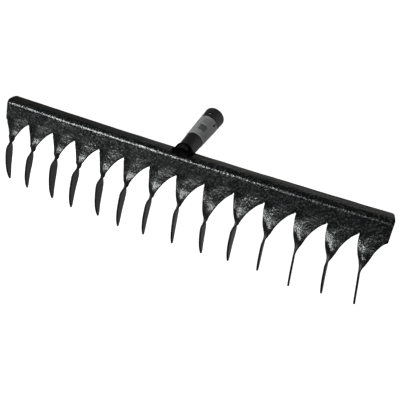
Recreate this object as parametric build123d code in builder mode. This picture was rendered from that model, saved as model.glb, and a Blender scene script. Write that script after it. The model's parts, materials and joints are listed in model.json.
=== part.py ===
from build123d import *
from math import sin, cos, radians, asin, degrees
import os

# Garden rake head: one pressed steel sheet with fourteen twisted tines, and a
# tapered handle socket welded to its top flange.
# X runs along the head, Y goes back towards the handle, +Z is up.
# Origin: centre of the socket's mouth, where the handle goes in.
# All sizes in millimetres. Positions on the head are given from its own
# reference point: middle of the head, front face, level with the fold corner.

# ---------------------------------------------------------------- sheet head
sheet = 2.0            # sheet thickness
x_left = -210.8        # left end of the head
x_right = 204.2        # right end of the head
bow = 1.8              # the middle of the head sits this much below its ends
half_len = 207.0
fold_start = -2.3      # where the plate's front face starts to bend
fold_r = 6.0           # outer bend radius
fold_deg = 70.0        # angle of the bend
flange_y = 13.9        # rear edge of the flange, outer face
flange_z = 5.5
end_slant = 3.5        # right end of the flange is cut back by this much
corner_r = 3.0         # rear corners of the flange
blank_low = -24.0      # lower limit of the blank before the notches are cut

# ---------------------------------------------------------------- tines
notch_gap = 0.4        # half width of each notch root
notch_rise = 0.5       # height of the notch root above the shoulder
notch_x = [-180.6, -148.7, -120.3, -90.0, -60.6, -30.6, -0.5,
           29.4, 60.1, 90.8, 121.0, 150.4, 178.9]
notch_z = [-16.9, -17.1, -17.8, -18.0, -18.5, -18.4, -18.6,
           -18.4, -17.6, -16.5, -16.5, -16.8, -15.8]
blade_x = [11.5, 10.5, 9.7, 10.0, 9.4, 8.8, 8.6,
           9.2, 8.9, 9.7, 9.1, 8.9, 9.3, 9.4]        # blade line from left notch
twist_deg = [75.3, 76.7, 82.7, 83.0, 85.9, 84.3, 83.5,
             81.5, 85.9, 89.8, 83.2, 80.5, 88.6, 85.8]
tip_shift = [2.4, -2.1, 1.0, -2.7, 1.8, -1.7, -1.2,
             1.4, 4.0, 0.6, 1.1, 3.2, 3.6, 5.4]      # sideways lean of the tip
tip_z = [-82.5, -85.6, -87.1, -89.2, -87.3, -90.5, -89.2,
         -87.0, -85.9, -83.4, -82.1, -85.9, -81.1, -79.5]
neck_drop = [-2.4, 0.1, -1.2, -0.4, 0.4, 0.6, 1.6,
             0.3, 6.2, -0.3, 0.9, 0.0, 0.8, -2.6]    # neck lower than usual

# profile of one tine, from the notch level down to the neck
up_depth = [0, 4, 8, 12, 16, 20, 24, 27, 30]
up_twist = [0, 0.07, 0.15, 0.23, 0.32, 0.45, 0.65, 0.82, 0.94]
up_fwd = [0, 0.8, 1.45, 1.9, 2.4, 3.1, 3.9, 4.4, 4.7]
up_left = [10.5, 10.1, 9.6, 8.9, 7.9, 6.8, 6.1, 5.9, 6.0]
up_right = [19.5, 15.2, 12.7, 10.6, 9.0, 8.1, 7.7, 7.6, 7.8]
# and from the neck down to the tip, by share of the remaining length
low_share = [0.12, 0.28, 0.45, 0.62, 0.78, 0.90, 0.97, 1.0]
low_fwd = [5.0, 5.2, 5.3, 5.3, 5.2, 5.1, 5.05, 5.0]
low_left = [6.4, 6.1, 5.2, 4.3, 3.8, 3.5, 2.9, 2.1]
low_right = [8.0, 7.9, 7.3, 6.0, 3.9, 1.5, -0.4, -0.9]

# ---------------------------------------------------------------- socket
sock_x = -1.2          # foot of the socket's axis, from the head's reference
sock_y = 5.75
sock_z = 1.74
sock_tilt = 23.0       # the axis rises to the rear by this angle
sock_r0 = 8.45         # outer radius at the foot
sock_r1 = 11.25        # outer radius at the mouth
sock_len = 75.0        # from the foot to the mouth, along the axis
sock_start = 2.0       # the tube's near end, from the foot
wall = 1.8             # tube wall
bore_r = 9.3           # bore radius at the mouth
bore_straight = 8.0    # the bore keeps this radius for the last stretch
mouth_round = 0.4      # outer edge of the mouth
hole_r = 1.5           # the two nail holes
hole_a = (53.5, 65.0)  # distance along the axis, angle from the top to +X
hole_b = (65.0, -3.5)

label_from = 27.3      # label band, along the axis
label_to = 58.1
label_t = 0.25
label_gap_deg = 20.0   # the band's ends stop short of each other underneath
slit_w = 1.5           # slit torn from the band's upper edge to the nail hole

weld_from = -7.0       # weld round the tube's near end, along the axis
weld_to = 7.4
weld_over = 1.2        # weld height over the tube
bead_r = 1.9           # side beads along the tube's foot


# the head's reference point in the part's frame
ref_x = -sock_x
ref_y = -sock_y - sock_len * cos(radians(sock_tilt))
ref_z = -sock_z - sock_len * sin(radians(sock_tilt))


def at(x, y, z):
    return (ref_x + x, ref_y + y, ref_z + z)


def cross_plane(x):
    # square to the head's length: local x = +Y, local y = +Z
    return Plane(origin=at(x, 0, 0), x_dir=(0, 1, 0), z_dir=(1, 0, 0))


def level_plane(z):
    return Plane(origin=at(0, 0, z), x_dir=(1, 0, 0), z_dir=(0, 0, 1))


def front_plane():
    return Plane(origin=at(0, 0, 0), x_dir=(1, 0, 0), z_dir=(0, -1, 0))


def axis_point(k):
    return (0, (k - sock_len) * cos(radians(sock_tilt)),
            (k - sock_len) * sin(radians(sock_tilt)))


def sock_plane(k):
    # local x = +X, local y = upwards square to the axis
    return Plane(origin=axis_point(k), x_dir=(1, 0, 0),
                 z_dir=(0, cos(radians(sock_tilt)), sin(radians(sock_tilt))))


def sock_r(k):
    return sock_r0 + (sock_r1 - sock_r0) * k / sock_len


def radial_plane(k, deg):
    # plane on the axis whose normal points out of the tube at this angle
    c, s = cos(radians(sock_tilt)), sin(radians(sock_tilt))
    a = radians(deg)
    n = (sin(a), -s * cos(a), c * cos(a))
    return Plane(origin=axis_point(k), x_dir=(0, c, s), z_dir=n)


def bend_point(radius, deg):
    a = radians(deg)
    return (fold_r - radius * cos(a), fold_start + radius * sin(a))


# ================================================================ rake_head
axis_height = half_len ** 2 / (2 * bow)       # radius of the bowed head
half_angle = degrees(asin(214.0 / axis_height))
bow_axis = Axis(at(0, 0, axis_height), (0, 1, 0))

end_dir = radians(4.5)
outer_end = (flange_y, flange_z)
inner_end = (flange_y + sheet * sin(end_dir), flange_z - sheet * cos(end_dir))
out_a, out_m = bend_point(fold_r, fold_deg), bend_point(fold_r, fold_deg / 2)
in_a = bend_point(fold_r - sheet, fold_deg)
in_m = bend_point(fold_r - sheet, fold_deg / 2)
run = (sin(radians(fold_deg)), cos(radians(fold_deg)))

with BuildPart() as rake_head:
    # section of the sheet: plate, bend and gently arched flange
    with BuildSketch(cross_plane(0)):
        with BuildLine():
            Line((0, blank_low), (0, fold_start))
            ThreePointArc((0, fold_start), out_m, out_a)
            TangentArc(out_a, outer_end, tangent=run)
            Line(outer_end, inner_end)
            TangentArc(in_a, inner_end, tangent=run)
            ThreePointArc((sheet, fold_start), in_m, in_a)
            Line((sheet, fold_start), (sheet, blank_low))
            Line((sheet, blank_low), (0, blank_low))
        make_face()
    revolve(axis=bow_axis, revolution_arc=half_angle)
    with BuildSketch(cross_plane(0)):
        with BuildLine():
            Line((0, blank_low), (0, fold_start))
            ThreePointArc((0, fold_start), out_m, out_a)
            TangentArc(out_a, outer_end, tangent=run)
            Line(outer_end, inner_end)
            TangentArc(in_a, inner_end, tangent=run)
            ThreePointArc((sheet, fold_start), in_m, in_a)
            Line((sheet, fold_start), (sheet, blank_low))
            Line((sheet, blank_low), (0, blank_low))
        make_face()
    revolve(axis=bow_axis, revolution_arc=-half_angle)

    # plan outline: square to the plate, slanted and rounded at the rear corners
    with BuildSketch(level_plane(-40)):
        with BuildLine():
            Polyline((x_left, -2), (x_right, -2), (x_right, sheet + 0.5),
                     (x_right - end_slant, flange_y + 2), (x_left + 0.6, flange_y + 2),
                     (x_left, sheet + 0.5), close=True)
        make_face()
    extrude(amount=70, mode=Mode.INTERSECT)
    rear_corners = rake_head.edges().filter_by(Axis.Z, 12).filter_by(
        lambda e: e.center().Y > ref_y + flange_y - 0.5
        and abs(e.center().X - ref_x) > 190 and e.length < 3)
    fillet(rear_corners, radius=corner_r)

    # shoulders and notch roots along the lower edge of the plate
    levels = [(([notch_z[0]] + notch_z)[j] + (notch_z + [notch_z[-1]])[j]) / 2
              for j in range(14)]
    outline = [(x_left - 5, levels[0])]
    for j in range(13):
        root = max(levels[j], levels[j + 1]) + notch_rise
        outline += [(notch_x[j] - notch_gap, levels[j]), (notch_x[j] - notch_gap, root),
                    (notch_x[j] + notch_gap, root), (notch_x[j] + notch_gap, levels[j + 1])]
    outline += [(x_right + 5, levels[13]), (x_right + 5, -45), (x_left - 5, -45)]
    with BuildSketch(front_plane()):
        with BuildLine():
            Polyline(*outline, close=True)
        make_face()
    extrude(amount=25, both=True, mode=Mode.SUBTRACT)

    # fourteen tines, each one strip of the sheet turned about its own line
    for j in range(14):
        left = x_left if j == 0 else notch_x[j - 1] + notch_gap
        right = x_right if j == 13 else notch_x[j] - notch_gap
        top = levels[j]
        line_x = (x_left if j == 0 else notch_x[j - 1]) + blade_x[j]
        drop = top - tip_z[j]
        rows = []
        for d, tw, fw, al, ar in zip(up_depth, up_twist, up_fwd, up_left, up_right):
            keep = max(0.0, 1 - d / 20.0)
            rows.append((d + neck_drop[j] * min(1.0, d / 25.0), tw, fw,
                         al + (line_x - left - 10.5) * keep,
                         ar + (right - line_x - 19.5) * keep))
        neck = rows[-1][0]
        for s, fw, al, ar in zip(low_share, low_fwd, low_left, low_right):
            rows.append((neck + s * (drop - neck), 1.0, fw, al, ar))
        for d, tw, fw, al, ar in rows:
            turn = twist_deg[j] * tw
            lean = tip_shift[j] * max(0.0, (d - 26) / (drop - 26))
            mid = (ar - al) / 2
            cx = line_x + lean + mid * cos(radians(turn))
            cy = sheet / 2 - fw - mid * sin(radians(turn))
            with BuildSketch(level_plane(top - d)):
                with Locations((cx, cy)):
                    Rectangle(al + ar, sheet, rotation=-turn)
        loft()

rake_head.part.label = "rake_head"

# ================================================================ handle_socket
with BuildPart() as handle_socket:
    with BuildSketch(sock_plane(sock_start)):
        Circle(sock_r(sock_start))
    with BuildSketch(sock_plane(sock_len)):
        Circle(sock_r(sock_len))
    loft()
    # bore: narrowing from its straight stretch down to the near end
    with BuildSketch(sock_plane(sock_start - 1)):
        Circle(sock_r(sock_start - 1) - wall)
    with BuildSketch(sock_plane(sock_len - bore_straight)):
        Circle(bore_r)
    loft(mode=Mode.SUBTRACT)
    with BuildSketch(sock_plane(sock_len - bore_straight)):
        Circle(bore_r)
    extrude(amount=bore_straight + 1, mode=Mode.SUBTRACT)
    out_of_mouth = Axis((0, 0, 0), (0, cos(radians(sock_tilt)), sin(radians(sock_tilt))))
    mouth_edges = handle_socket.faces().sort_by(out_of_mouth)[-1].edges()
    fillet(mouth_edges.sort_by(SortBy.LENGTH)[-1], radius=mouth_round)
    # near end cut away underneath, so the tube sits over the flange
    with BuildSketch(cross_plane(sock_x)):
        with BuildLine():
            Polyline((-12, -30), (flange_y + 0.16, -30), (flange_y + 0.16, flange_z - 1.2),
                     (6.5, 2.8), (4.0, 1.6), (-12, 1.6), close=True)
        make_face()
    extrude(amount=20, both=True, mode=Mode.SUBTRACT)
    add(rake_head.part, mode=Mode.SUBTRACT)
    # nail holes through one wall
    for k, deg in (hole_a, hole_b):
        with BuildSketch(radial_plane(k, deg)):
            Circle(hole_r)
        extrude(amount=20, mode=Mode.SUBTRACT)

handle_socket.part.label = "handle_socket"

# ================================================================ socket_weld
with BuildPart() as socket_weld:
    # run of weld over and into the tube's near end
    with BuildSketch(sock_plane(weld_from)):
        Circle(sock_r(weld_from) + weld_over)
    with BuildSketch(sock_plane(weld_to)):
        Circle(sock_r(weld_to) + weld_over * 0.7)
    loft()
    # sloping front, from the fold up to the top of the tube
    with BuildSketch(cross_plane(sock_x)):
        with BuildLine():
            Polyline((-20, -30), (0.6, -30), (0.6, 0.2), (3.3, 5.8),
                     (8.0, 11.0), (9.0, 25), (-20, 25), close=True)
        make_face()
    extrude(amount=20, both=True, mode=Mode.SUBTRACT)
    # lumps along the sides of the foot
    for side in (-1, 1):
        for n, y in enumerate((5.6, 7.8, 10.0, 12.2)):
            r = bead_r + (0.25 if n % 2 else 0.0)
            with Locations(at(sock_x + side * (sock_r0 + 0.7), y, 4.3)):
                Sphere(r)
    # nothing below the flange's upper face
    with BuildSketch(cross_plane(sock_x)):
        with BuildLine():
            Polyline((-20, -40), (30, -40), (30, flange_z - 1.2), (flange_y - 0.2, flange_z - 1.2),
                     (6.5, 2.8), (3.0, 1.6), (1.5, 0.0), (-20, 0.0), close=True)
        make_face()
    extrude(amount=30, both=True, mode=Mode.SUBTRACT)
    add(rake_head.part, mode=Mode.SUBTRACT)
    add(handle_socket.part, mode=Mode.SUBTRACT)

socket_weld.part.label = "socket_weld"

# ================================================================ socket_label
with BuildPart() as socket_label:
    with BuildSketch(sock_plane(label_from)):
        Circle(sock_r(label_from) + label_t)
    with BuildSketch(sock_plane(label_to)):
        Circle(sock_r(label_to) + label_t)
    loft()
    with BuildSketch(sock_plane(label_from - 1)):
        Circle(sock_r(label_from - 1))
    with BuildSketch(sock_plane(label_to + 1)):
        Circle(sock_r(label_to + 1))
    loft(mode=Mode.SUBTRACT)
    # open strip underneath, between the band's two ends
    open_w = 2 * sock_r(40) * sin(radians(label_gap_deg / 2))
    with BuildSketch(radial_plane(0, 180)):
        with Locations((40, 0)):
            Rectangle(60, open_w)
    extrude(amount=20, mode=Mode.SUBTRACT)
    # slit from the upper edge down to the nail hole, and the hole itself
    with BuildSketch(radial_plane(0, hole_a[1])):
        with Locations(((hole_a[0] + 62) / 2, 0)):
            Rectangle(62 - hole_a[0], slit_w)
        with Locations((hole_a[0], 0)):
            Circle(hole_r)
    extrude(amount=20, mode=Mode.SUBTRACT)

socket_label.part.label = "socket_label"

os.makedirs("parts", exist_ok=True)
export_step(rake_head.part, "parts/rake_head.step")
export_step(handle_socket.part, "parts/handle_socket.step")
export_step(socket_weld.part, "parts/socket_weld.step")
export_step(socket_label.part, "parts/socket_label.step")
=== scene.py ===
import json
import math
import bpy
import bmesh
import numpy as np
from mathutils import Matrix, Vector, noise

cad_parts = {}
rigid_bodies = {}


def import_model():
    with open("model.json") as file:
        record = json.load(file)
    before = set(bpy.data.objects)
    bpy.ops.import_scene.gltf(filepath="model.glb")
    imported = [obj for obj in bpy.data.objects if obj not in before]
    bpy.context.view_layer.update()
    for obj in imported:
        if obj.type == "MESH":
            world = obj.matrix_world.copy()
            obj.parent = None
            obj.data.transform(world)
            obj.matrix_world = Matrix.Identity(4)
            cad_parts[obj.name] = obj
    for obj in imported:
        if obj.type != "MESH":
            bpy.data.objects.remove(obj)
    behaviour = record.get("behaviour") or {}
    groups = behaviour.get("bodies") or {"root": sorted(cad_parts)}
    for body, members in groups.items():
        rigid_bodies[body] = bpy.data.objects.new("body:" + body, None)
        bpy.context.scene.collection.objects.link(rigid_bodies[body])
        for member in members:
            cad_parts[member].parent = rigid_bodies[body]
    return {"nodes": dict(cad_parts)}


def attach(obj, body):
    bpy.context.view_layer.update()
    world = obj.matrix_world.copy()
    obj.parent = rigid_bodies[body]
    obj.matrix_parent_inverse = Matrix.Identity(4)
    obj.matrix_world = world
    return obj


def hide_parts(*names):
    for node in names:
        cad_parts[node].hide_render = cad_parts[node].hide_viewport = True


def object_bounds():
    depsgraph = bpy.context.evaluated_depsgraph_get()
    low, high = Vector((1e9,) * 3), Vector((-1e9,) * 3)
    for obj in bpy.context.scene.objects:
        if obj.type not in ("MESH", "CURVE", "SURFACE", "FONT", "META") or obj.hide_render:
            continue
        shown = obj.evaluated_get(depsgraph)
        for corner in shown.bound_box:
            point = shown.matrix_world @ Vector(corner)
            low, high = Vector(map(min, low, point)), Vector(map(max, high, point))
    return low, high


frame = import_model()
cad_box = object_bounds()
MM = 0.001

# ------------------------------------------------------------------ sizes, mm
# positions on the head are given from its own reference point: middle of the
# head, front face, level with the fold corner
TILT = math.radians(23.0)
SOCK = (-1.2, 5.75, 1.74)
SOCK_LEN, SOCK_R0, SOCK_R1, WALL = 75.0, 8.45, 11.25, 1.8
REF = np.array([-SOCK[0], -SOCK[1] - SOCK_LEN * math.cos(TILT), -SOCK[2] - SOCK_LEN * math.sin(TILT)])
SHEET = 2.0
X_LEFT, X_RIGHT = -210.8, 204.2
BOW, HALF = 1.8, 207.0
FOLD_START, FOLD_R, FOLD_DEG = -2.3, 6.0, 70.0
FLANGE = (13.9, 5.5)
NOTCH_GAP, NOTCH_RISE = 0.4, 0.5
notch_x = [-180.6, -148.7, -120.3, -90.0, -60.6, -30.6, -0.5, 29.4, 60.1, 90.8, 121.0, 150.4, 178.9]
notch_z = [-16.9, -17.1, -17.8, -18.0, -18.5, -18.4, -18.6, -18.4, -17.6, -16.5, -16.5, -16.8, -15.8]
blade_x = [11.5, 10.5, 9.7, 10.0, 9.4, 8.8, 8.6, 9.2, 8.9, 9.7, 9.1, 8.9, 9.3, 9.4]
twist_deg = [75.3, 76.7, 82.7, 83.0, 85.9, 84.3, 83.5, 81.5, 85.9, 89.8, 83.2, 80.5, 88.6, 85.8]
tip_shift = [2.4, -2.1, 1.0, -2.7, 1.8, -1.7, -1.2, 1.4, 4.0, 0.6, 1.1, 3.2, 3.6, 5.4]
tip_z = [-82.5, -85.6, -87.1, -89.2, -87.3, -90.5, -89.2, -87.0, -85.9, -83.4, -82.1, -85.9, -81.1, -79.5]
neck_drop = [-2.4, 0.1, -1.2, -0.4, 0.4, 0.6, 1.6, 0.3, 6.2, -0.3, 0.9, 0.0, 0.8, -2.6]
up_depth = [0, 4, 8, 12, 16, 20, 24, 27, 30]
up_twist = [0, 0.07, 0.15, 0.23, 0.32, 0.45, 0.65, 0.82, 0.94]
up_fwd = [0, 0.0, 0.15, 0.65, 1.6, 2.8, 3.8, 4.4, 4.7]
up_left = [10.5, 10.1, 9.6, 8.9, 7.9, 6.8, 6.1, 5.9, 6.0]
up_right = [19.5, 15.2, 12.7, 10.6, 9.0, 8.1, 7.7, 7.6, 7.8]
low_share = [0.12, 0.28, 0.45, 0.62, 0.78, 0.90, 0.97, 1.0]
low_fwd = [5.0, 5.2, 5.3, 5.3, 5.2, 5.1, 5.05, 5.0]
low_left = [6.4, 6.1, 5.2, 4.3, 3.8, 3.5, 2.9, 2.1]
low_right = [8.0, 7.9, 7.3, 6.0, 3.9, 1.5, -0.4, -0.9]


# ------------------------------------------------------------------ camera
right = Vector((0.89586, 0.40167, 0.19000))
down = Vector((0.30691, -0.25014, -0.91828))
ahead = Vector((-0.32132, 0.88096, -0.34737))
cam_data = bpy.data.cameras.new("camera")
cam = bpy.data.objects.new("camera", cam_data)
bpy.context.scene.collection.objects.link(cam)
cam_data.sensor_width = 36.0
cam_data.lens = 560.0 / 400.0 * 36.0
cam_data.clip_start, cam_data.clip_end = 0.02, 60.0
turn = Matrix((right, -down, -ahead)).transposed().to_4x4()
cam.matrix_world = Matrix.Translation((0.20376, -0.550137, 0.122435)) @ turn
bpy.context.scene.camera = cam


# ------------------------------------------------------------------ helpers
def smooth_curve(xs, ys, at):
    """Cubic through the points, with slopes that never overshoot."""
    xs, ys, at = np.asarray(xs, float), np.asarray(ys, float), np.asarray(at, float)
    h = np.diff(xs)
    d = np.diff(ys) / h
    m = np.zeros(len(xs))
    m[0], m[-1] = d[0], d[-1]
    for i in range(1, len(xs) - 1):
        if d[i - 1] * d[i] > 0:
            w1, w2 = 2 * h[i] + h[i - 1], h[i] + 2 * h[i - 1]
            m[i] = (w1 + w2) / (w1 / d[i - 1] + w2 / d[i])
    k = np.clip(np.searchsorted(xs, at) - 1, 0, len(xs) - 2)
    t = (at - xs[k]) / h[k]
    return (ys[k] * (2 * t**3 - 3 * t**2 + 1) + h[k] * m[k] * (t**3 - 2 * t**2 + t)
            + ys[k + 1] * (3 * t**2 - 2 * t**3) + h[k] * m[k + 1] * (t**3 - t**2))


def new_object(name, verts, faces, smooth=True):
    me = bpy.data.meshes.new(name)
    me.from_pydata([tuple(v) for v in verts], [], faces)
    me.validate()
    me.update()
    ob = bpy.data.objects.new(name, me)
    bpy.context.scene.collection.objects.link(ob)
    for p in me.polygons:
        p.use_smooth = smooth
    return ob


# ------------------------------------------------------------------ the sheet head
def profile():
    """Middle line of the sheet's section, from the flange's rear edge down to
    the end of the bend: (distance, y, z)."""
    a = math.radians(FOLD_DEG)
    out_a = np.array([FOLD_R - FOLD_R * math.cos(a), FOLD_START + FOLD_R * math.sin(a)])
    run = np.array([math.sin(a), math.cos(a)])
    n = np.array([run[1], -run[0]])
    d = np.array(FLANGE) - out_a
    rho = float(d @ d / (2 * (d @ n)))
    centre = out_a + rho * n
    span = 2 * (math.atan2(run[1], run[0]) - math.atan2(d[1], d[0]))
    start = math.atan2(-n[1], -n[0])
    pts = []
    r = rho - SHEET / 2
    length = r * span
    marks = [0.0, 0.08, 0.22, 0.42, 0.7, 1.2, 2.0, 3.0] + list(np.linspace(4.2, length, 8))
    for s in marks:
        ang = start - (length - s) / r
        pts.append((centre[0] + r * math.cos(ang), centre[1] + r * math.sin(ang)))
    rb = FOLD_R - SHEET / 2
    for i in range(1, 17):
        ang = a * (1 - i / 16)
        pts.append((FOLD_R - rb * math.cos(ang), FOLD_START + rb * math.sin(ang)))
    pts = np.array(pts)
    dist = np.concatenate([[0], np.cumsum(np.hypot(*np.diff(pts, axis=0).T))])
    return dist, pts


def columns(width, n=16):
    """Places across one strip, finer beside its two edges."""
    k = min(1.0, width / 3.2)
    side = np.array([0.0, 0.09, 0.26, 0.55, 1.1]) * k
    inner = np.linspace(side[-1], width - side[-1], n + 2)[1:-1]
    return np.concatenate([side, inner, width - side[::-1]])


def smoothstep(x, lo, hi):
    t = min(max((x - lo) / (hi - lo), 0.0), 1.0)
    return t * t * (3 - 2 * t)


# how far a strip's surface is pressed forward beside the notches, across it
press_u = [0.0, 0.05, 0.12, 0.28, 0.40, 0.55, 0.8, 0.93, 1.0]
press_plate = [0.0, -1.2, -1.7, -0.5, 0.4, 0.8, 1.0, 0.8, 0.0]
press_strip = [-4.6, -4.2, -3.5, -1.2, 0.4, 0.8, 1.0, 0.95, 0.9]
PRESS = 0.6
# share of the twist's turn taken by each part across a strip
turn_u = [0.0, 0.36, 0.46, 0.54, 0.75, 1.0]
turn_w = [2.1, 2.1, 1.3, 0.4, 0.2, 0.15]


# the twist starts slowly and most of it comes just above the neck
slow_twist = [0, 0.02, 0.04, 0.07, 0.15, 0.33, 0.62, 0.82, 0.94]


def pressed(u, d):
    """Forward offset at u across a strip, d mm below the notch level."""
    rise = smoothstep(d, -(1.5 + 7.0 * u), 1.0)
    fade = 1.0 - smoothstep(d, 4.0, 17.0)
    free = smoothstep(d, 0.0, 3.0)
    g = (1 - free) * np.interp(u, press_u, press_plate) + free * np.interp(u, press_u, press_strip)
    return PRESS * rise * fade * float(g)


def section(places, al, turn_r, bent):
    """Points of a strip's section along its width, as (x, y) from the strip's
    own line. The left part turns more than the right one where bent is 1."""
    width = places[-1]
    fine = np.linspace(0, width, 61)
    w = np.interp(fine / width, turn_u, turn_w)
    w /= float(np.sum((w[1:] + w[:-1]) / 2 * np.diff(fine))) / width
    tau = turn_r * (1 + bent * (w - 1))
    step_x = np.concatenate([[0], np.cumsum((np.cos(tau[1:]) + np.cos(tau[:-1])) / 2 * np.diff(fine))])
    step_y = np.concatenate([[0], np.cumsum(-(np.sin(tau[1:]) + np.sin(tau[:-1])) / 2 * np.diff(fine))])
    # the middle between its two edges stays where a straight section has it
    mid = width / 2 - al
    step_x += mid * math.cos(turn_r) - step_x[-1] / 2
    step_y += -mid * math.sin(turn_r) - step_y[-1] / 2
    return np.interp(places, fine, step_x), np.interp(places, fine, step_y)


def edge_half(dist, radius=0.62):
    """Half the sheet's thickness at a distance from its cut edge."""
    t = SHEET / 2
    d = np.clip(dist, 0, radius)
    return t - radius + np.sqrt(np.maximum(radius**2 - (radius - d) ** 2, 0.0))


def build_head():
    levels = [(([notch_z[0]] + notch_z)[j] + (notch_z + [notch_z[-1]])[j]) / 2 for j in range(14)]
    roots = [max(levels[j], levels[j + 1]) + NOTCH_RISE for j in range(13)]
    root_x = [X_LEFT] + notch_x + [X_RIGHT]
    root_z = [roots[0]] + roots + [roots[-1]]
    dist, prof = profile()
    verts, halves, faces, bow_part = [], [], [], []

    def add(p, h):
        verts.append(p)
        halves.append(h)
        return len(verts) - 1

    # columns of the plate: every strip's own, one after the other
    cols, owner = [], []
    for j in range(14):
        left = X_LEFT if j == 0 else notch_x[j - 1] + NOTCH_GAP
        rgt = X_RIGHT if j == 13 else notch_x[j] - NOTCH_GAP
        cols.append(left + columns(rgt - left))
    xs = np.concatenate(cols)
    ncol = len(cols[0])
    total = len(xs)

    def end_shift(x, d_rear, y):
        """The flange's ends are slanted and its rear corners rounded."""
        corner = 3.0 - math.sqrt(max(9.0 - (3.0 - min(d_rear, 3.0)) ** 2, 0.0))
        back = min(max((y - 2.5) / 13.4, 0.0), 1.0)
        lo = X_LEFT + 0.6 * back + corner
        hi = X_RIGHT - 3.5 * back - corner
        w0, w1 = cols[0][-1] - cols[0][0], cols[13][-1] - cols[13][0]
        if x < cols[0][-1]:
            f = (cols[0][-1] - x) / w0
            return x + (lo - X_LEFT) * f, x - X_LEFT
        if x > cols[13][0]:
            f = (x - cols[13][0]) / w1
            return x + (hi - X_RIGHT) * f, X_RIGHT - x
        return x, 99.0

    rows = []
    for d, (y, z) in zip(dist, prof):
        row = []
        for x in xs:
            xx, side = end_shift(x, d, y)
            rise = xx * xx / (2 * (HALF**2 / (2 * BOW)))
            row.append(add((xx, y, z + rise), float(edge_half(min(d, side)))))
        rows.append(row)
    zr = np.interp(xs, root_x, root_z)
    y0, z0 = prof[-1]
    shares = [0.1, 0.2, 0.3, 0.39, 0.48, 0.57, 0.65, 0.73, 0.8, 0.87, 0.93, 0.97, 1.0]
    for f in shares:
        row = []
        for i, x in enumerate(xs):
            top = z0 + x * x / (2 * (HALF**2 / (2 * BOW)))
            z = top + f * (zr[i] - top)
            side = min(x - X_LEFT, X_RIGHT - x)
            for nx, nz in zip(notch_x, roots):
                gap = math.hypot(max(abs(x - nx) - NOTCH_GAP, 0.0), z - nz)
                side = min(side, gap)
            j = i // ncol
            u = (x - cols[j][0]) / (cols[j][-1] - cols[j][0])
            row.append(add((x, y0 - pressed(u, levels[j] - z), z), float(edge_half(side))))
        rows.append(row)
    for a, b in zip(rows, rows[1:]):
        for i in range(total - 1):
            faces.append((a[i], b[i], b[i + 1], a[i + 1]))

    # the tines
    base = rows[-1]
    for j in range(14):
        left, rgt = cols[j][0], cols[j][-1]
        top = levels[j]
        line_x = (X_LEFT if j == 0 else notch_x[j - 1]) + blade_x[j]
        drop = top - tip_z[j]
        tab = []
        for d, tw, fw, al, ar in zip(up_depth, up_twist, up_fwd, up_left, up_right):
            keep = max(0.0, 1 - d / 20.0)
            tab.append((d + neck_drop[j] * min(1.0, d / 25.0), tw, fw,
                        al + (line_x - left - 10.5) * keep, ar + (rgt - line_x - 19.5) * keep))
        neck = tab[-1][0]
        for s, fw, al, ar in zip(low_share, low_fwd, low_left, low_right):
            tab.append((neck + s * (drop - neck), 1.0, fw, al, ar))
        tab = np.array(tab)
        ds = [0.0] + list(np.arange(0.9, neck + 2, 0.9))
        ds += list(np.linspace(ds[-1] + 1.4, drop - 3.5, 26))
        ds += [drop - 2.6, drop - 1.8, drop - 1.2, drop - 0.75, drop - 0.42, drop - 0.2, drop - 0.07, drop]
        prev = base[j * ncol:(j + 1) * ncol]
        for d in ds:
            tw, fw, al, ar = (float(smooth_curve(tab[:, 0], tab[:, c], d)) for c in (1, 2, 3, 4))
            old_r = math.radians(twist_deg[j] * tw)
            if d < neck:
                slow = float(smooth_curve(tab[:9, 0], slow_twist, d)) if d > 0 else 0.0
                turn_r = math.radians(twist_deg[j] * slow)
                # the strip keeps the width that it shows from the front right
                view_r = math.atan2(202.6 - line_x, 475.3)
                keep_w = math.cos(min(view_r + old_r, 1.2)) / math.cos(min(view_r + turn_r, 1.2))
                al, ar = al * keep_w, ar * keep_w
            else:
                turn_r = old_r
            lean = tip_shift[j] * max(0.0, (d - 26) / (drop - 26))
            width = al + ar
            places = cols[j] - cols[j][0] if d == 0 else columns(width)
            row = []
            sx, sy = section(places, al, turn_r, 1.0 - smoothstep(d, 15.0, 24.0))
            for q, px, py in zip(places, sx, sy):
                side = min(q, width - q, drop - d)
                fore = pressed(q / width, d)
                if d == 0:
                    p = (left + q, SHEET / 2 - fore, top)
                else:
                    aside = fore * math.tan(math.atan2(202.6 - line_x, 475.3)) * smoothstep(d, 0.0, 3.0)
                    p = (max(line_x + lean + px + aside, X_LEFT + 0.1), SHEET / 2 - fw + py - fore, top - d)
                row.append(add(p, float(edge_half(side))))
            for i in range(ncol - 1):
                faces.append((prev[i], row[i], row[i + 1], prev[i + 1]))
            prev = row

    v = np.array(verts)
    h = np.array(halves)
    f = np.array(faces)
    # normals of the middle surface, pointing forward and up
    n = np.zeros_like(v)
    e1, e2 = v[f[:, 2]] - v[f[:, 0]], v[f[:, 3]] - v[f[:, 1]]
    fn = np.cross(e1, e2)
    for c in range(4):
        np.add.at(n, f[:, c], fn)
    n /= np.linalg.norm(n, axis=1)[:, None]
    if n[rows[-1][5]][1] > 0:
        n = -n
        flip = True
    else:
        flip = False

    # slight unevenness of the pressed sheet, the same on both faces
    wob = np.zeros_like(v)
    for i, p in enumerate(v):
        q = Vector(p)
        low = noise.noise(q * 0.055) * 0.22
        fold = math.exp(-((p[2] - 1.0) / 4.0) ** 2) * noise.noise(Vector((p[0] * 0.12, 3.7, p[1] * 0.15)))
        wob[i] = n[i] * (low + 0.22 * fold)
    v = v + wob

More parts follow.
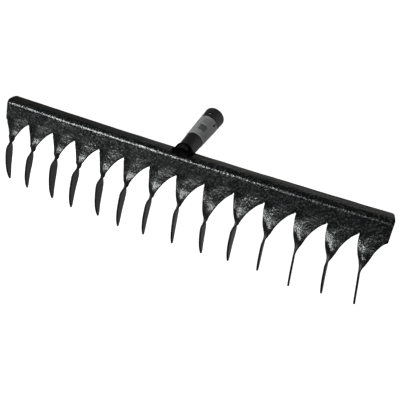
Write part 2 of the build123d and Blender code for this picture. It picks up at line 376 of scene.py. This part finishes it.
    front = v + n * h[:, None]
    back = v - n * h[:, None]
    count = len(v)
    allv = (np.concatenate([front, back]) + REF) * MM
    out = []
    border = {}
    for q in faces:
        a, b, c, d = q[::-1] if flip else q
        out.append((a, b, c, d))
        out.append((d + count, c + count, b + count, a + count))
        for s, e in ((a, b), (b, c), (c, d), (d, a)):
            if (e, s) in border:
                del border[(e, s)]
            else:
                border[(s, e)] = True
    for s, e in border:
        out.append((e, s, s + count, e + count))
    return new_object("rake_head_sheet", allv, out)


head = build_head()
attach(head, "root")
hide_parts("rake_head")


# ------------------------------------------------------------------ socket frame
def sock_point(k, deg, r):
    """A point at k mm along the socket from its foot, deg from the top towards
    +X, r mm from the axis, in metres in the part's frame."""
    a = math.radians(deg)
    c, s = math.cos(TILT), math.sin(TILT)
    return Vector((r * math.sin(a), (k - SOCK_LEN) * c - r * s * math.cos(a),
                   (k - SOCK_LEN) * s + r * c * math.cos(a))) * MM


# ------------------------------------------------------------------ weld
def evaluated_mesh(ob):
    dg = bpy.context.evaluated_depsgraph_get()
    return bpy.data.meshes.new_from_object(ob.evaluated_get(dg))


def build_weld():
    """The weld over the socket's near end, with the uneven skin of weld metal:
    overlapping ripples, small lumps and drops."""
    src = frame["nodes"]["socket_weld"]
    mesh_src = src if src.type == "MESH" else [c for c in src.children_recursive if c.type == "MESH"][0]
    tmp = bpy.data.objects.new("weld_tmp", mesh_src.data.copy())
    tmp.matrix_world = mesh_src.matrix_world
    bpy.context.scene.collection.objects.link(tmp)
    rm = tmp.modifiers.new("remesh", "REMESH")
    rm.mode = "VOXEL"
    rm.voxel_size = 0.00036
    me = evaluated_mesh(tmp)
    me.transform(tmp.matrix_world)
    bpy.data.objects.remove(tmp)
    me.materials.clear()
    ob = bpy.data.objects.new("weld_bead", me)
    bpy.context.scene.collection.objects.link(ob)
    bm = bmesh.new()
    bm.from_mesh(me)
    # remeshing can leave crumbs beside thin edges: only the largest shell stays
    seen, shells = set(), []
    for start in bm.verts:
        if start in seen:
            continue
        seen.add(start)
        shell = [start]
        for v in shell:
            for e in v.link_edges:
                w = e.other_vert(v)
                if w not in seen:
                    seen.add(w)
                    shell.append(w)
        shells.append(shell)
    shells.sort(key=len)
    bmesh.ops.delete(bm, geom=[v for shell in shells[:-1] for v in shell], context="VERTS")
    for _ in range(3):
        bmesh.ops.smooth_vert(bm, verts=bm.verts, factor=0.5, use_axis_x=True, use_axis_y=True, use_axis_z=True)
    bm.normal_update()
    moves = []
    for v in bm.verts:
        q = v.co / MM
        lump = noise.noise(q * 0.26) * 0.45 + noise.noise(q * 0.62 + Vector((7, 1, 3))) * 0.2
        ripple = 0.07 * math.sin(q.x * 1.9 + 2.5 * noise.noise(q * 0.2) + q.z * 0.5)
        moves.append(v.normal * (0.30 + lump + ripple) * MM)
    for v, m in zip(bm.verts, moves):
        v.co += m
    bmesh.ops.smooth_vert(bm, verts=bm.verts, factor=0.4, use_axis_x=True, use_axis_y=True, use_axis_z=True)
    bm.to_mesh(me)
    bm.free()
    for poly in me.polygons:
        poly.use_smooth = True
    return ob


weld = build_weld()
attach(weld, "root")
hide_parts("socket_weld")


# ------------------------------------------------------------------ materials
def mat_new(name):
    m = bpy.data.materials.new(name)
    m.use_nodes = True
    nt = m.node_tree
    nt.nodes.clear()
    out = nt.nodes.new("ShaderNodeOutputMaterial")
    bsdf = nt.nodes.new("ShaderNodeBsdfPrincipled")
    nt.links.new(bsdf.outputs[0], out.inputs[0])
    return m, nt, bsdf


def coords(nt, scale=(1.0, 1.0, 1.0)):
    tc = nt.nodes.new("ShaderNodeTexCoord")
    mp = nt.nodes.new("ShaderNodeMapping")
    mp.inputs["Scale"].default_value = scale
    nt.links.new(tc.outputs["Object"], mp.inputs["Vector"])
    return mp.outputs[0]


def noise_tex(nt, vec, scale, detail=3.0, rough=0.55, colour=False):
    n = nt.nodes.new("ShaderNodeTexNoise")
    n.inputs["Scale"].default_value = scale
    n.inputs["Detail"].default_value = detail
    n.inputs["Roughness"].default_value = rough
    nt.links.new(vec, n.inputs["Vector"])
    return n.outputs[1 if colour else 0]


def ramp(nt, fac, stops):
    r = nt.nodes.new("ShaderNodeValToRGB")
    nt.links.new(fac, r.inputs[0])
    els = r.color_ramp.elements
    while len(els) > 1:
        els.remove(els[-1])
    for i, (p, c) in enumerate(stops):
        e = els[0] if i == 0 else els.new(p)
        e.position = p
        e.color = (c[0], c[1], c[2], 1.0) if isinstance(c, tuple) else (c, c, c, 1.0)
    return r.outputs[0]


def plug(nt, socket, value):
    if isinstance(value, (int, float, tuple)):
        socket.default_value = value
    else:
        nt.links.new(value, socket)


def calc(nt, op, a, b=0.0, c=None):
    m = nt.nodes.new("ShaderNodeMath")
    m.operation = op
    plug(nt, m.inputs[0], a)
    plug(nt, m.inputs[1], b)
    if c is not None:
        plug(nt, m.inputs[2], c)
    return m.outputs[0]


def step(nt, value, lo, hi):
    """0 below lo, 1 above hi, smooth between them."""
    m = nt.nodes.new("ShaderNodeMapRange")
    m.interpolation_type = "SMOOTHSTEP"
    plug(nt, m.inputs["Value"], value)
    m.inputs["From Min"].default_value = lo
    m.inputs["From Max"].default_value = hi
    return m.outputs[0]


def band(nt, value, lo, hi, soft):
    return calc(nt, "MULTIPLY", step(nt, value, lo - soft, lo + soft),
                calc(nt, "SUBTRACT", 1.0, step(nt, value, hi - soft, hi + soft)))


def mix_colour(nt, fac, a, b):
    m = nt.nodes.new("ShaderNodeMix")
    m.data_type = "RGBA"
    plug(nt, m.inputs["Factor"], fac)
    ins = [i for i in m.inputs if i.type == "RGBA"]
    for sock, v in zip(ins, (a, b)):
        if isinstance(v, tuple):
            sock.default_value = (*v, 1.0)
        else:
            nt.links.new(v, sock)
    return [o for o in m.outputs if o.type == "RGBA"][0]


def bump(nt, height, distance, strength=1.0, below=None):
    b = nt.nodes.new("ShaderNodeBump")
    b.inputs["Distance"].default_value = distance
    plug(nt, b.inputs["Strength"], strength)
    nt.links.new(height, b.inputs["Height"])
    if below is not None:
        nt.links.new(below, b.inputs["Normal"])
    return b.outputs[0]


def split(nt, vec):
    sp = nt.nodes.new("ShaderNodeSeparateXYZ")
    nt.links.new(vec, sp.inputs[0])
    return sp.outputs


def cells(nt, vec, scale, smoothness=0.5):
    v = nt.nodes.new("ShaderNodeTexVoronoi")
    v.feature = "SMOOTH_F1"
    v.inputs["Scale"].default_value = scale
    v.inputs["Smoothness"].default_value = smoothness
    nt.links.new(vec, v.inputs["Vector"])
    return v.outputs[0]


def head_paint():
    """Hammered black paint: fine pits and grains about 1 mm across on the
    plate, smoother on the blades, and lengthwise roller lines on the flange."""
    m, nt, bsdf = mat_new("hammered_black")
    vec = coords(nt)
    x, y, z = split(nt, vec)
    zr = -REF[2] * MM
    blade = calc(nt, "SUBTRACT", 1.0, step(nt, z, -0.047 - zr, -0.032 - zr))
    flange = step(nt, y, REF[1] * MM + 0.0035, REF[1] * MM + 0.0060)
    grain = noise_tex(nt, vec, 540.0, 1.5, 0.55)
    pits = cells(nt, vec, 560.0, 0.3)
    peel = noise_tex(nt, vec, 2600.0, 2.0)
    lines = noise_tex(nt, coords(nt, (0.012, 1.0, 1.0)), 620.0, 2.0)
    keep = calc(nt, "SUBTRACT", 1.0, calc(nt, "ADD", calc(nt, "MULTIPLY", blade, 0.85),
                                          calc(nt, "MULTIPLY", flange, 0.75)))
    n = bump(nt, pits, 0.00012, keep)
    n = bump(nt, grain, 0.00036, keep, n)
    n = bump(nt, peel, 0.00005, 0.7, n)
    n = bump(nt, lines, 0.0010, calc(nt, "MULTIPLY", flange, 0.8), n)
    nt.links.new(n, bsdf.inputs["Normal"])
    wide = noise_tex(nt, vec, 60.0, 3.0)
    black = ramp(nt, wide, [(0.3, (0.0040, 0.0042, 0.0047)), (0.7, (0.0080, 0.0084, 0.0090))])
    # light grey specks painted into the plate's colour stand in for glints of the hammered paint's sparkle; they are
    # kept off the blades and the flange
    speck = step(nt, noise_tex(nt, vec, 540.0, 2.0, 0.6), 0.53, 0.62)
    plate_black_with_painted_glints = mix_colour(nt, calc(nt, "MULTIPLY", speck, keep), black, (0.040, 0.041, 0.042))
    warm = ramp(nt, lines, [(0.38, (0.0060, 0.0056, 0.0046)), (0.62, (0.0210, 0.0195, 0.0165))])
    steel = mix_colour(nt, blade, plate_black_with_painted_glints, (0.0105, 0.0107, 0.0108))
    nt.links.new(mix_colour(nt, flange, steel, warm), bsdf.inputs["Base Color"])
    rg = ramp(nt, noise_tex(nt, vec, 260.0, 3.0), [(0.3, 0.20), (0.7, 0.32)])
    bend = calc(nt, "MULTIPLY", step(nt, z, -0.0030 - zr, -0.0016 - zr), calc(nt, "SUBTRACT", 1.0, flange))
    wear = calc(nt, "ADD", calc(nt, "MULTIPLY", rg, calc(nt, "SUBTRACT", 1.0, calc(nt, "MULTIPLY", bend, 0.3))),
                calc(nt, "MULTIPLY", calc(nt, "MAXIMUM", blade, flange), 0.12))
    nt.links.new(wear, bsdf.inputs["Roughness"])
    # the flange's sheen comes and goes in stripes along it
    sheen = ramp(nt, lines, [(0.36, 0.12), (0.50, 0.5), (0.64, 0.95)])
    nt.links.new(calc(nt, "ADD", calc(nt, "MULTIPLY", sheen, flange),
                      calc(nt, "MULTIPLY", 0.5, calc(nt, "SUBTRACT", 1.0, flange))),
                 bsdf.inputs["Specular IOR Level"])
    return m


def socket_paint():
    """The same black paint on the tube, thinner, over faint drawing lines."""
    m, nt, bsdf = mat_new("socket_black")
    vec = coords(nt)
    along = nt.nodes.new("ShaderNodeVectorRotate")
    along.rotation_type = "X_AXIS"
    along.inputs["Angle"].default_value = -TILT
    nt.links.new(vec, along.inputs["Vector"])
    mp = nt.nodes.new("ShaderNodeMapping")
    mp.inputs["Scale"].default_value = (1.0, 0.03, 1.0)
    nt.links.new(along.outputs[0], mp.inputs["Vector"])
    lines = noise_tex(nt, mp.outputs[0], 900.0, 2.0)
    n = bump(nt, noise_tex(nt, vec, 900.0, 2.0, 0.6), 0.00035, 0.9)
    n = bump(nt, lines, 0.0002, 0.6, n)
    nt.links.new(n, bsdf.inputs["Normal"])
    nt.links.new(ramp(nt, noise_tex(nt, vec, 90.0, 3.0), [(0.3, (0.0055, 0.0053, 0.0047)), (0.7, (0.0105, 0.0101, 0.0092))]),
                 bsdf.inputs["Base Color"])
    nt.links.new(ramp(nt, noise_tex(nt, vec, 240.0, 3.0), [(0.3, 0.32), (0.7, 0.46)]), bsdf.inputs["Roughness"])
    return m


def weld_paint():
    """Thick glossy black over the weld."""
    m, nt, bsdf = mat_new("weld_black")
    vec = coords(nt)
    n = bump(nt, noise_tex(nt, vec, 700.0, 2.0, 0.5), 0.0002, 0.6)
    nt.links.new(n, bsdf.inputs["Normal"])
    nt.links.new(ramp(nt, noise_tex(nt, vec, 200.0, 2.0), [(0.3, 0.0006), (0.7, 0.0014)]), bsdf.inputs["Base Color"])
    nt.links.new(ramp(nt, noise_tex(nt, vec, 300.0, 2.0), [(0.3, 0.38), (0.7, 0.50)]), bsdf.inputs["Roughness"])
    bsdf.inputs["Specular IOR Level"].default_value = 0.02
    return m


def label_paint():
    """Grey label with a plain generic layout: a light line along each edge, a
    dark panel with a darker head, thin ruled lines beside it and small marks."""
    m, nt, bsdf = mat_new("label_film")
    vec = coords(nt)
    x, y, z = split(nt, vec)
    c, sn = math.cos(TILT), math.sin(TILT)
    k = calc(nt, "ADD", calc(nt, "MULTIPLY", calc(nt, "ADD", calc(nt, "MULTIPLY", y, c), calc(nt, "MULTIPLY", z, sn)), 1000.0), SOCK_LEN)
    up = calc(nt, "SUBTRACT", calc(nt, "MULTIPLY", z, c), calc(nt, "MULTIPLY", y, sn))
    phi = calc(nt, "MULTIPLY", calc(nt, "ARCTAN2", x, up), 180.0 / math.pi)
    tone = ramp(nt, noise_tex(nt, vec, 120.0, 4.0), [(0.3, (0.30, 0.30, 0.30)), (0.7, (0.37, 0.37, 0.37))])

    def area_mark(k0, k1, p0, p1, soft_k=0.12, soft_p=0.9):
        return calc(nt, "MULTIPLY", band(nt, k, k0, k1, soft_k), band(nt, phi, p0, p1, soft_p))

    edge = calc(nt, "ADD", calc(nt, "SUBTRACT", 1.0, step(nt, k, 28.2, 28.6)), step(nt, k, 56.9, 57.3))
    tone = mix_colour(nt, edge, tone, (0.45, 0.455, 0.46))
    tone = mix_colour(nt, area_mark(34.6, 43.0, -2.0, 46.0), tone, (0.150, 0.151, 0.152))
    tone = mix_colour(nt, area_mark(41.4, 43.4, -6.0, 40.0), tone, (0.075, 0.075, 0.076))
    for i in range(4):
        tone = mix_colour(nt, area_mark(35.4 + 1.5 * i, 36.0 + 1.5 * i, 2.0, 42.0), tone, (0.085, 0.085, 0.086))
    for i, (k0, k1) in enumerate(((30.0, 47.0), (31.0, 50.0), (30.0, 45.0))):
        tone = mix_colour(nt, area_mark(k0, k1, 58.0 + 10.0 * i, 61.0 + 10.0 * i), tone, (0.13, 0.13, 0.132))
    for i in range(3):
        tone = mix_colour(nt, area_mark(47.6 + 2.4 * i, 48.6 + 2.4 * i, -6.0, 22.0 - 8.0 * (i % 2)), tone, (0.15, 0.15, 0.152))
    tone = mix_colour(nt, area_mark(31.0, 35.0, -30.0, 30.0, 0.2, 1.5), tone, (0.36, 0.361, 0.362))
    rub = step(nt, noise_tex(nt, vec, 420.0, 4.0, 0.65), 0.60, 0.72)
    tone = mix_colour(nt, calc(nt, "MULTIPLY", rub, 0.4), tone, (0.2, 0.2, 0.2))
    nt.links.new(tone, bsdf.inputs["Base Color"])
    nt.links.new(bump(nt, noise_tex(nt, vec, 260.0, 2.0), 0.00022, 0.8), bsdf.inputs["Normal"])
    bsdf.inputs["Roughness"].default_value = 0.42
    return m


head.data.materials.append(head_paint())
weld.data.materials.append(weld_paint())


def paint(node, mat):
    ob = frame["nodes"][node]
    for c in [ob] + list(ob.children_recursive):
        if c.type == "MESH":
            if not c.material_slots:
                c.data.materials.append(mat)
            for sl in c.material_slots:
                sl.material = mat


paint("handle_socket", socket_paint())
paint("socket_label", label_paint())


# ------------------------------------------------------------------ floor and light
def build_floor():
    """A plain pale floor that runs up into a round backdrop far away."""
    fz = cad_box[0][2] - 0.30
    rings = [(0.0, 0.0), (3.0, 0.0), (4.0, 0.13), (4.8, 0.55), (5.3, 1.2), (5.5, 2.2), (5.5, 6.0)]
    n = 64
    verts, faces = [(0.0, 0.0, fz)], []
    for r, h in rings[1:]:
        for i in range(n):
            a = 2 * math.pi * i / n
            verts.append((r * math.cos(a), r * math.sin(a), fz + h))
    for i in range(n):
        faces.append((0, 1 + i, 1 + (i + 1) % n))
    for q in range(len(rings) - 2):
        for i in range(n):
            a, b = 1 + q * n + i, 1 + q * n + (i + 1) % n
            faces.append((a, b, b + n, a + n))
    me = bpy.data.meshes.new("floor")
    me.from_pydata(verts, [], faces)
    ob = bpy.data.objects.new("floor", me)
    bpy.context.scene.collection.objects.link(ob)
    for poly in me.polygons:
        poly.use_smooth = True
    m, nt, bsdf = mat_new("floor_white")
    bsdf.inputs["Base Color"].default_value = (0.8, 0.8, 0.8, 1)
    bsdf.inputs["Roughness"].default_value = 0.9
    bsdf.inputs["Specular IOR Level"].default_value = 0.05
    bsdf.inputs["Emission Color"].default_value = (1, 1, 1, 1)
    bsdf.inputs["Emission Strength"].default_value = 1.02
    me.materials.append(m)
    # the floor shows, but throws no light back on the black paint
    ob.visible_glossy = False
    ob.visible_diffuse = False
    ob.visible_shadow = False


build_floor()

world = bpy.data.worlds.new("world")
bpy.context.scene.world = world
world.use_nodes = True
wt = world.node_tree
bg = wt.nodes["Background"]
tc = wt.nodes.new("ShaderNodeTexCoord")
dp = wt.nodes.new("ShaderNodeVectorMath")
dp.operation = "DOT_PRODUCT"
wt.links.new(tc.outputs["Generated"], dp.inputs[0])
dp.inputs[1].default_value = Vector((0.45, 0.85, 0.1)).normalized()
remap = wt.nodes.new("ShaderNodeMapRange")
remap.inputs["From Min"].default_value = -1.0
remap.inputs["From Max"].default_value = 1.0
wt.links.new(dp.outputs["Value"], remap.inputs["Value"])
sky = ramp(wt, remap.outputs[0], [(0.0, 0.03), (0.55, 0.045), (0.8, 0.15), (1.0, 0.42)])
wt.links.new(sky, bg.inputs[0])
bg.inputs[1].default_value = 1.0


def area(name, loc, target, size, power, size_y=None, colour=(1, 1, 1)):
    d = bpy.data.lights.new(name, "AREA")
    d.energy = power
    d.color = colour
    d.size = size
    if size_y:
        d.shape = "RECTANGLE"
        d.size_y = size_y
    o = bpy.data.objects.new(name, d)
    bpy.context.scene.collection.objects.link(o)
    o.location = loc
    o.rotation_mode = "QUATERNION"
    o.rotation_quaternion = (Vector(target) - Vector(loc)).to_track_quat("-Z", "Y")
    return o


area("key", (-0.73, -1.21, 0.21), (-0.05, -0.075, -0.035), 0.6, 15, 0.3, (0.98, 1.0, 1.0))
area("key_side", (-0.12, -1.37, 0.19), (0.08, -0.075, -0.035), 0.45, 2.2, 0.22, (0.98, 1.0, 1.0))
area("back", (-0.3, 1.15, 0.78), (0, -0.05, -0.03), 1.1, 1.0, 0.35, (1.0, 1.0, 0.98))
area("rim", (-0.87, 0.93, -0.12), (0, -0.03, -0.01), 0.45, 1.0, 0.5, (0.98, 1.0, 1.0))
area("fill", (1.1, 0.35, 0.5), (0, -0.03, -0.01), 1.5, 2.2, 1.5, (1.0, 1.0, 1.0))

sc = bpy.context.scene
sc.view_settings.view_transform = "Standard"
sc.view_settings.look = "None"
